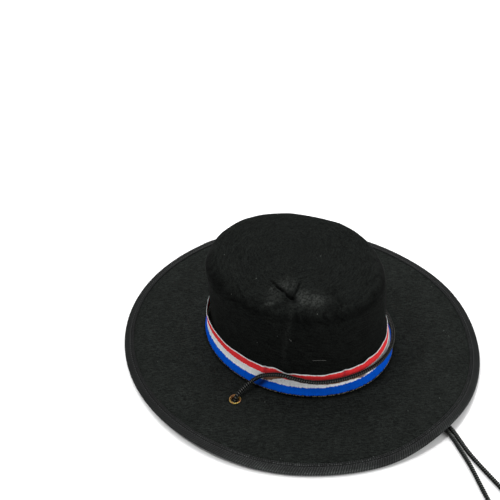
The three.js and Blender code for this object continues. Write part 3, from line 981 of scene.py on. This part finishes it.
def bindingMaterial():
    shade = Shader("ribbedRibbon", {"Roughness": 0.6, "Specular IOR Level": 0.1})
    place = shade.place()
    along, run = shade.ribbonPlace()
    slanted = shade.plus(along, shade.times(run, binding["ribSlant"]))
    twill = shade.wave(slanted, binding["ribPitch"] / mm)
    # fine threads cross in the hem, and cut each rib elsewhere
    fine = binding["hemPitch"] / mm
    knots = shade.remap(shade.noise(place, 800, 1), 0.4, 0.62)
    rows = shade.remap(shade.wave(run, 1.75), 0.1, 0.8, 0.2, 1.2)
    checks = shade.times(knots, rows, shade.wave(along, fine))
    cut = shade.wave(shade.math("SUBTRACT", along, run), fine)
    ribs = shade.times(shade.remap(twill, 0.25, 1, 0.1, 0.8), shade.remap(cut, 0, 1, 0.5, 0.9))
    # a painted highlight on the ribs along the fold
    width = binding["width"] / mm
    nearFold = shade.remap(run, 0.8 * width, width + 0.2)
    foldHighlight = shade.times(nearFold, shade.remap(run, width + 1.6, width + 3.2, 1, 0))
    ribs = shade.times(ribs, shade.remap(foldHighlight, 0, 1, 0.75, 1.7))
    rib = shade.between(shade.math("LESS_THAN", run, binding["hem"] / mm - 0.5), ribs, checks)
    threads = shade.noise(place, 1100, 2)
    patch = shade.remap(shade.noise(place, 45, 2), 0.35, 0.65, 0.6, 1.2)
    # the ribs' tone, with light painted on them round the front
    light = shade.times(rib, shade.remap(threads, 0.35, 0.62, 0.4, 1.3), patch, shade.attribute("paintedRibLight"))
    shade.link(shade.mix(light, binding["dark"], binding["light"]), "Base Color")
    shade.bump(shade.plus(rib, threads), 0.15 * mm, 0.7)
    return shade.material


# The row of stitches in the binding's groove, one small capsule each.
def makeStitches():
    bearings = np.linspace(-math.pi, math.pi, binding["columns"] + 1)
    row = brimSection(1 - (binding["width"] - binding["hem"]) / brimRun)
    off = halfWall + binding["gap"] + binding["wall"] - binding["groove"] + binding["stitchRise"]
    line = surface([row], bearings, off, soft=0)[0]
    lengths = lengthsAlong(line)
    count = round(lengths[-1] / binding["stitchPitch"])
    along = np.array([ring["place"] for ring in stitchRings]) * binding["stitchLength"]
    radius = binding["stitchRadius"] * np.array([[ring["width"]] for ring in stitchRings])
    points, faces = [], []
    for i in range(count):
        path = pointsAt((i + 0.5) * lengths[-1] / count + along, lengths, line)
        ahead = path[-1] - path[0]
        ahead /= np.linalg.norm(ahead)
        side = np.cross(ahead, (0, 0, 1))
        stitch = tube(path, side, np.cross(side, ahead), radius, binding["stitchSides"], len(points))
        points.extend(stitch[0])
        faces.extend(stitch[1])
    item = meshObject("bindingStitches", points, faces)
    finishPiece(item, threadMaterial())
    print("stitches made:", count)


def threadMaterial():
    shade = Shader("sewingThread", {"Roughness": 0.6})
    twist = shade.noise(shade.place(), 3000, 2)
    shade.link(shade.mix(twist, binding["darkThread"], binding["thread"]), "Base Color")
    shade.bump(twist, 0.08 * mm, 0.6)
    return shade.material


# Band: a woven ribbon in three stripes

band = {
    "wall": 0.6 * mm,
    "columns": 1000,
    "rows": 30,
    "lapBearing": 48,  # degrees: where its ends overlap, at the back
    "lapLength": 12 * mm,
    "wefts": 1.1,  # threads across it in each millimetre
    "flare": 2.4 * mm,  # how far its lower edge stands out
    "flareFrom": 0.5,  # share of its width, from below, that stands out
    "drop": 0.6 * mm,  # of its lower edge into the foot of the crown
    "trim": 0.9 * mm,  # its upper edge lies this much lower than the solid's
    "gap": 0.15 * mm,  # between it and the felt
    "bow": 0.25 * mm,  # how far its middle stands out
    "frill": 0.15 * mm,  # of small waves along the upper edge
    "frills": 23,  # such waves round the hat
    "edgeHeight": 0.4 * mm,  # over this height its two edges get thinner
    "edgeInset": 0.15 * mm,  # how far its back stands off there
    "lapGap": 0.1 * mm,  # between its overlapping ends
    "threadPitch": 0.9,  # in millimetres along it
    "warps": 40,  # threads across it
    # where each stripe starts, as a share of its width; below the first one is the dark edge
    "stripes": ((0.06, "blue"), (0.35, "white"), (0.65, "red"), (0.955, "selvedge")),
    "jag": 0.016,  # how far a thread may shift the stripes' edges, as such a share
    "red": (0.86, 0.037, 0.042),
    "white": (0.89, 0.905, 0.92),
    "blue": (0.0, 0.088, 0.61),
    "selvedge": (0.66, 0.68, 0.68),
    "edge": (0.008, 0.008, 0.009),
    "edgeFleck": (0.2, 0.18, 0.12),
    "brownPatch": (0.2, 0.085, 0.035),  # brownish painted shadow under the cord
    "deepCordShadow": (0.07, 0.03, 0.017),
    # painted shadow where the cord leaves the ribbon
    "cordShadowPatchColour": (0.003, 0.005, 0.02),
    # the colour of the fluff, also used as painted shade in the folds
    "lint": (0.03, 0.03, 0.05),
}

# Ripples of the ribbon's upper edge: bearing and spread in degrees, rise in millimetres.
bandRipples = table(
    "bearing spread rise",
    (-242, 15, 5),
    (-205, 9, -1.3),
    (-190, 4, 0.6),
    (-165, 4.2, 2.4),
    (-157.5, 2.6, -1.9),
    (-137, 9, -1),
    (-120, 1.9, 1.5),
    (-101, 3, 1.4),
    (-87, 8, 0.6),
    (120, 8, -0.6),
    (80, 6, 0.7),
    (20, 12, 0.6),
    (-40, 10, -0.7),
)

# The painted shadow under the cord: its lower edge's height in millimetres at each bearing, and how strong
# and how dark it is there.
bandCordShadow = table(
    "bearing height share dark",
    (-172.5, 20, 0, 0),
    (-171.6, 21, 1, 0),
    (-166.6, 24, 1, 0),
    (-160.4, 29, 1, 0.4),
    (-158.3, 30.5, 1, 1),
    (-154.3, 29, 1, 1),
    (-148.4, 27.2, 1, 0.7),
    (-140.3, 25.3, 1, 0.4),
    (-127.5, 24, 1, 0.2),
    (-117.9, 24.2, 1, 0.3),
    (-110.5, 22.6, 1, 0.2),
    (-106.2, 22, 0.8, 0.5),
    (-103.5, 21.5, 0, 0.5),
)

# A painted shadow of the cord where it leaves the ribbon: it leans by so many degrees for each millimetre
# up.
cordShadowPatch = {"bearing": -172.4, "height": 18, "lean": 0.35, "spread": 2, "reach": 5.5, "share": 0.85}

# Folds pressed across the ribbon: bearing and spread as above, depth in millimetres, and how much painted
# shade lies in each.
bandFolds = table(
    "bearing spread depth dirt",
    (-230, 15, 3, 0),
    (-172.5, 1.1, 0.55, 0),
    (-170.5, 1.3, -0.45, 1),
    (-155, 1.5, 0.3, 0),
    (-121, 1.2, -0.3, 1),
    (-118.5, 1.2, 0.35, 0),
    (130, 1.5, 0.3, 0),
    (-30, 1.5, 0.3, 0),
)


def bandRipple(bearings):
    degrees = np.degrees(bearings)
    fine = 0.14 * mm * np.sin(degrees / 2.3) + 0.1 * mm * np.sin(degrees / 1.1 + 1)
    return bumpsRound(bearings, bandRipples, "rise") * mm + fine


# Points of the ribbon in rows, down its outer face and up its inner one. over is 1 where it lies on
# its own other end.
def bandPoints(bearings, shares, over):
    ripple = bandRipple(bearings) - band["trim"]
    folds = bumpsRound(bearings, bandFolds, "depth") * mm
    width = bandHigh[2] - bandLow[2]
    inner, outer = [], []
    for share in shares:
        flared = smoothStep((band["flareFrom"] - share) / band["flareFrom"])
        height = bandLow[2] + width * share + ripple * share**3 - band["drop"] * flared
        walls = [wallSection(at) for at in height]
        long, wide, lean = (np.array([row[key] for row in walls]) for key in ("long", "wide", "lean"))
        bow = band["bow"] * math.sin(math.pi * share)
        bow = bow + band["frill"] * (1 + np.sin(bearings * band["frills"])) * share**4
        bow = bow + band["flare"] * flared + (folds - folds.min()) * share
        edge = smoothStep(min(share, 1 - share) * width / band["edgeHeight"])
        base = halfWall + band["gap"] + bow + over * (band["wall"] + band["lapGap"])
        back = base + band["edgeInset"] * (1 - edge)
        front = base + band["wall"] * (0.6 + 0.4 * edge)
        for off, rings in ((back, inner), (front, outer)):
            x = np.cos(bearings) * (wide + off * np.sin(lean))
            y = np.sin(bearings) * (long + off * np.sin(lean))
            rings.append(np.stack([x, y, height + off * np.cos(lean)], axis=-1))
    return np.array(outer + inner[::-1])


def makeBand():
    columns, rows = band["columns"], band["rows"]
    start = math.radians(band["lapBearing"]) - fullTurn
    overlap = band["lapLength"] / footWide
    bearings = np.linspace(start - overlap / 2, start + fullTurn + overlap / 2, columns)
    # the later end lies on the earlier one
    over = smoothStep((bearings - (start + fullTurn - overlap)) / (overlap * 0.6))
    shares = np.linspace(1, 0, rows)
    points = bandPoints(bearings, shares, over)
    total = len(points)
    faces = gridFaces(total, columns, closedRows=True, closedColumns=False).tolist()
    for end, step in ((0, 1), (columns - 1, -1)):
        for i in range(rows - 1):
            quad = [i, i + 1, total - 2 - i, total - 1 - i]
            faces.append([row * columns + end for row in quad[::step]])
    item = meshObject("hatBand", points.reshape(-1, 3), faces)
    up = np.append(shares, shares[::-1])[:, None]
    uv = np.stack(np.broadcast_arrays(lengthsAlong(points[0])[None, :] / mm, up), axis=-1)
    unwrap(item, "ribbon", uv.reshape(-1, 2))
    markBand(item, points[..., 2] / mm, bearings, up)
    finishPiece(item, bandMaterial(), "hat_band")
    print("band made:", len(item.data.polygons), "faces")


# The painted shadow under the cord, the painted shadow where the cord leaves the ribbon and the painted
# shade in the folds, as attributes. height is each point's in millimetres, and up its share of the ribbon's
# width.
def markBand(item, height, bearings, up):
    degrees = np.degrees(bearings)
    brownPatch = {key: np.array([row[key] for row in bandCordShadow], dtype=float) for key in bandCordShadow[0]}
    brownPatch = {key: np.interp(degrees, brownPatch["bearing"], brownPatch[key]) for key in brownPatch}
    above = (height - cordShadowPatch["height"]) / cordShadowPatch["reach"]
    side = degrees - cordShadowPatch["bearing"] - cordShadowPatch["lean"] * above * cordShadowPatch["reach"]
    marks = {
        "overCordShadow": height - brownPatch["height"],
        "cordShadowShare": brownPatch["share"],
        "cordShadowDarkness": brownPatch["dark"],
        "cordShadowPatchShare": cordShadowPatch["share"] * np.exp(-((side / cordShadowPatch["spread"]) ** 2) - above**4),
        "foldShadeShare": bumpsRound(bearings, bandFolds, "dirt") * up,
    }
    for name, values in marks.items():
        paint(item, name, np.broadcast_to(values, height.shape))


def bandMaterial():
    shade = Shader("stripedRibbon", {"Roughness": 0.7, "Specular IOR Level": 0.03})
    place = shade.place()
    along, up = shade.ribbonPlace()
    # each weft thread shifts the stripes' edges a little
    weft = shade.math("FLOOR", shade.times(along, band["wefts"]))
    shift = shade.node("ShaderNodeTexWhiteNoise", {"W": weft}, noise_dimensions="1D").outputs["Value"]
    jagged = shade.plus(up, shade.remap(shift, 0, 1, -band["jag"], band["jag"]))
    stripes = shade.node("ShaderNodeValToRGB", {"Fac": jagged})
    ramp = stripes.color_ramp
    ramp.interpolation = "CONSTANT"
    ramp.elements.remove(ramp.elements[1])
    ramp.elements[0].color = (*band["edge"], 1)
    for start, name in band["stripes"]:
        ramp.elements.new(start).color = (*band[name], 1)
    tone = shade.times(
        shade.remap(shade.noise(place, 90, 3), 0.3, 0.7, 0.93, 1.03),
        shade.remap(shift, 0, 1, 0.92, 1),
        shade.remap(shade.noise(place, 900, 2), 0.35, 0.6, 0.86, 1),
    )
    colour = shade.shaded(stripes.outputs[0], tone)
    # flecks of a lighter thread along the lower edge
    fleck = shade.math("GREATER_THAN", shade.noise(place, 620, 1, 0.5), 0.5)
    fleck = shade.times(fleck, shade.math("LESS_THAN", up, 0.045))
    colour = shade.mix(fleck, colour, band["edgeFleck"])
    # painted shade in the folds, and fluff
    colour = shade.mix(shade.times(shade.attribute("foldShadeShare"), 0.4), colour, band["lint"])
    fluff = shade.math("GREATER_THAN", shade.noise(place, 700, 2, 0.7), 0.69)
    colour = shade.mix(shade.times(fluff, 0.6), colour, band["lint"])
    # the painted shadow is ragged along its lower edge and ends 5 to 6 mm above it
    over = shade.attribute("overCordShadow")
    ragged = shade.plus(over, shade.remap(shade.noise(place, 420, 2), 0.3, 0.7, -0.6, 0.6))
    uneven = shade.remap(shade.noise(place, 260, 3), 0.35, 0.6, 0.92, 1)
    cordShadowShare = shade.times(shade.attribute("cordShadowShare"), uneven, shade.remap(ragged, 0, 0.7))
    cordShadowShare = shade.times(cordShadowShare, shade.remap(over, 5, 6, 1, 0))
    # the brownish painted shadow, darker in places
    brown = shade.mix(shade.attribute("cordShadowDarkness"), band["brownPatch"], band["deepCordShadow"])
    colour = shade.mix(cordShadowShare, colour, brown)
    # the painted shadow where the cord leaves the ribbon
    shade.link(shade.mix(shade.attribute("cordShadowPatchShare"), colour, band["cordShadowPatchColour"]), "Base Color")
    weave = shade.math("SINE", shade.times(along, fullTurn / band["threadPitch"]))
    warp = shade.math("SINE", shade.times(up, fullTurn * band["warps"]))
    shade.bump(shade.plus(weave, shade.times(warp, 0.5)), 0.06 * mm, 0.7)
    return shade.material


# Eyelets: rolled brass rings through the brim

eyelet = {
    "reach": 110 * mm,  # from the middle of the hat
    "gap": 0.1 * mm,  # between a rim and the felt
    "bore": 3.5 * mm,  # this, the next three and the back are radii
    "barrel": 3.9 * mm,
    "mouth": 5.05 * mm,  # where the bore meets the rolled rim
    "rim": 6 * mm,
    "dent": 0.006,  # how uneven its ring is, as a share
    "curl": 1.1 * mm,  # height of the rolled rim
    "back": 4.9 * mm,  # how far the rim on the under face reaches
    "backCurl": 0.8 * mm,
    "sides": 96,
    "colour": (0.95, 0.72, 0.17),
    "tarnish": (0.42, 0.2, 0.09),
    # painted shade in the bore
    "dark": (0.03, 0.018, 0.01),
}


# Where an eyelet sits on the brim and how it leans there: side is 1 at +X and -1 at -X.
def eyeletPlace(side):
    foot = footWide + hat["footRadius"]
    row = brimSection((eyelet["reach"] - foot) / (edgeWide - foot))
    bearing = np.array([0.0 if side > 0 else math.pi])
    return surface([row], bearing, soft=0)[0, 0], side * row["lean"]


# A ring's outline as radius and height over the felt's middle: over the rolled rim, down through
# the mouth and the bore, round the back's rim and up the barrel.
def eyeletOutline(seat):
    bore, mouth, rim, barrel = (eyelet[key] for key in ("bore", "mouth", "rim", "barrel"))
    half = (rim - mouth) / 2
    outline = []
    for turn in np.linspace(0, math.pi, 15):
        curl = eyelet["curl"] * math.sin(turn) ** 0.8
        outline.append(((mouth + rim) / 2 + half * math.cos(turn), seat + curl))
    for share in (0.3, 0.6, 0.85):
        outline.append((mouth + (bore - mouth) * smoothStep(share), seat * (1 - share)))
    outline += [(bore, 0), (bore, -seat)]
    half = (eyelet["back"] - bore) / 2
    for turn in np.linspace(math.pi, 0, 9):
        outline.append((bore + half + half * math.cos(turn), -seat - eyelet["backCurl"] * math.sin(turn)))
    outline += [(barrel, -seat), (barrel, 0), (barrel, seat)]
    return np.array(outline).T


def makeEyelet(side, name, node, material):
    sides = eyelet["sides"]
    seat = halfWall + eyelet["gap"]
    radius, height = eyeletOutline(seat)
    angle = np.linspace(0, fullTurn, sides, endpoint=False)
    dent = 1 + eyelet["dent"] * np.sin(3 * angle + side) + 0.004 * np.sin(7 * angle)
    x = radius[:, None] * np.cos(angle) * dent
    y = radius[:, None] * np.sin(angle) * dent
    points = np.stack(np.broadcast_arrays(x, y, height[:, None]), axis=-1).reshape(-1, 3)
    place, tilt = eyeletPlace(side)
    points = points @ np.array(Matrix.Rotation(tilt, 3, "Y")).T + place
    item = meshObject(name, points, gridFaces(len(radius), sides, closedRows=True)[:, ::-1])
    # painted shade down in the bore
    paintedBoreShade = smoothStep((seat - height) / (0.5 * mm)) * (radius < eyelet["mouth"])
    paint(item, "paintedBoreShade", np.repeat(paintedBoreShade, sides))
    finishPiece(item, material, node)
    print("eyelet made:", name)


def makeEyelets():
    brass = brassMaterial()
    makeEyelet(-1, "eyeletLeft", "eyelet_left", brass)
    makeEyelet(1, "eyeletRight", "eyelet_right", brass)


def brassMaterial():
    shade = Shader("wornBrass", {"Metallic": 1.0})
    place = shade.place()
    brownPatch = shade.remap(shade.noise(place, 170, 3), 0.4, 0.6)
    colour = shade.mix(brownPatch, eyelet["colour"], eyelet["tarnish"])
    shade.link(shade.mix(shade.times(shade.attribute("paintedBoreShade"), 0.9), colour, eyelet["dark"]), "Base Color")
    shade.link(shade.remap(brownPatch, 0, 1, 0.3, 0.5), "Roughness")
    shade.bump(shade.noise(place, 1800, 2), 0.05 * mm, 0.5)
    return shade.material


# Pale hairs that cling to the crown

lint = {
    "radius": 0.1 * mm,
    "sides": 6,
    "step": 0.3,  # in millimetres, as the points are
    "colour": (0.22, 0.22, 0.2),
    "darkColour": (0.1, 0.1, 0.1),
    # points along each
    "hairs": [
        [(-60.6, -59.8, 56.6), (-58.9, -62.4, 56.9), (-56.6, -65.4, 56.5)],
        [(-56.2, -65.8, 56.8), (-54.6, -67.8, 56.2), (-52.9, -70.1, 55.8)],
        [(-70.9, -41.2, 84.2), (-70.4, -42.6, 83.1), (-70.6, -43.4, 82.4)],
    ],
}


def makeLint():
    points, faces = [], []
    for hair in lint["hairs"]:
        route = smoothRoute(hair, lint["step"])[0] * mm
        strand = tube(route, *routeFrames(route), lint["radius"], lint["sides"], len(points))
        points.extend(strand[0])
        faces.extend(strand[1])
    item = meshObject("lintFibres", points, faces)
    finishPiece(item, hairMaterial())
    print("hairs made:", len(lint["hairs"]))


def hairMaterial():
    shade = Shader("paleHair", {"Roughness": 0.8})
    twist = shade.noise(shade.place(), 900, 2)
    shade.link(shade.mix(twist, lint["darkColour"], lint["colour"]), "Base Color")
    return shade.material


# Floor and light

studio = {
    "floorSize": 6.0,
    "floorColour": (0.88, 0.88, 0.88),
    "skyStrength": 0.44,
    "lights": table(
        "name place power size",
        ("topLight", (0.82, 0.66, 1.75), 42, 1.6),  # wide and soft, high behind the hat
        ("keyLight", (-0.62, 0.5, 1.8), 14, 0.22),  # small, to the left: it casts the cord's shadow
        ("fillLight", (0.35, -1.3, 0.7), 11, 1.0),  # weak, in front, for the band
    ),
}


def areaLight(name, place, power, size):
    data = bpy.data.lights.new(name, "AREA")
    data.energy = power
    data.size = size
    item = bpy.data.objects.new(name, data)
    item.location = place
    item.rotation_euler = (-Vector(place)).to_track_quat("-Z", "Y").to_euler()
    bpy.context.collection.objects.link(item)


def makeStudio():
    half = studio["floorSize"] / 2
    corners = [(-half, -half, 0), (half, -half, 0), (half, half, 0), (-half, half, 0)]
    floor = meshObject("floor", corners, [[0, 1, 2, 3]])
    shade = Shader("paleFloor", {"Roughness": 0.9, "Base Color": (*studio["floorColour"], 1)})
    floor.data.materials.append(shade.material)
    world = bpy.data.worlds.new("studio")
    world.use_nodes = True
    sky = world.node_tree.nodes["Background"].inputs
    sky["Color"].default_value = (1, 1, 1, 1)
    sky["Strength"].default_value = studio["skyStrength"]
    bpy.context.scene.world = world
    for light in studio["lights"]:
        areaLight(**light)
    bpy.context.scene.view_settings.view_transform = "Standard"
    print("floor and lights set")


makeCamera()
makeCord()
seatMarks()
makeFelt()
makeBinding()
makeStitches()
makeBand()
makeEyelets()
makeLint()
makeStudio()
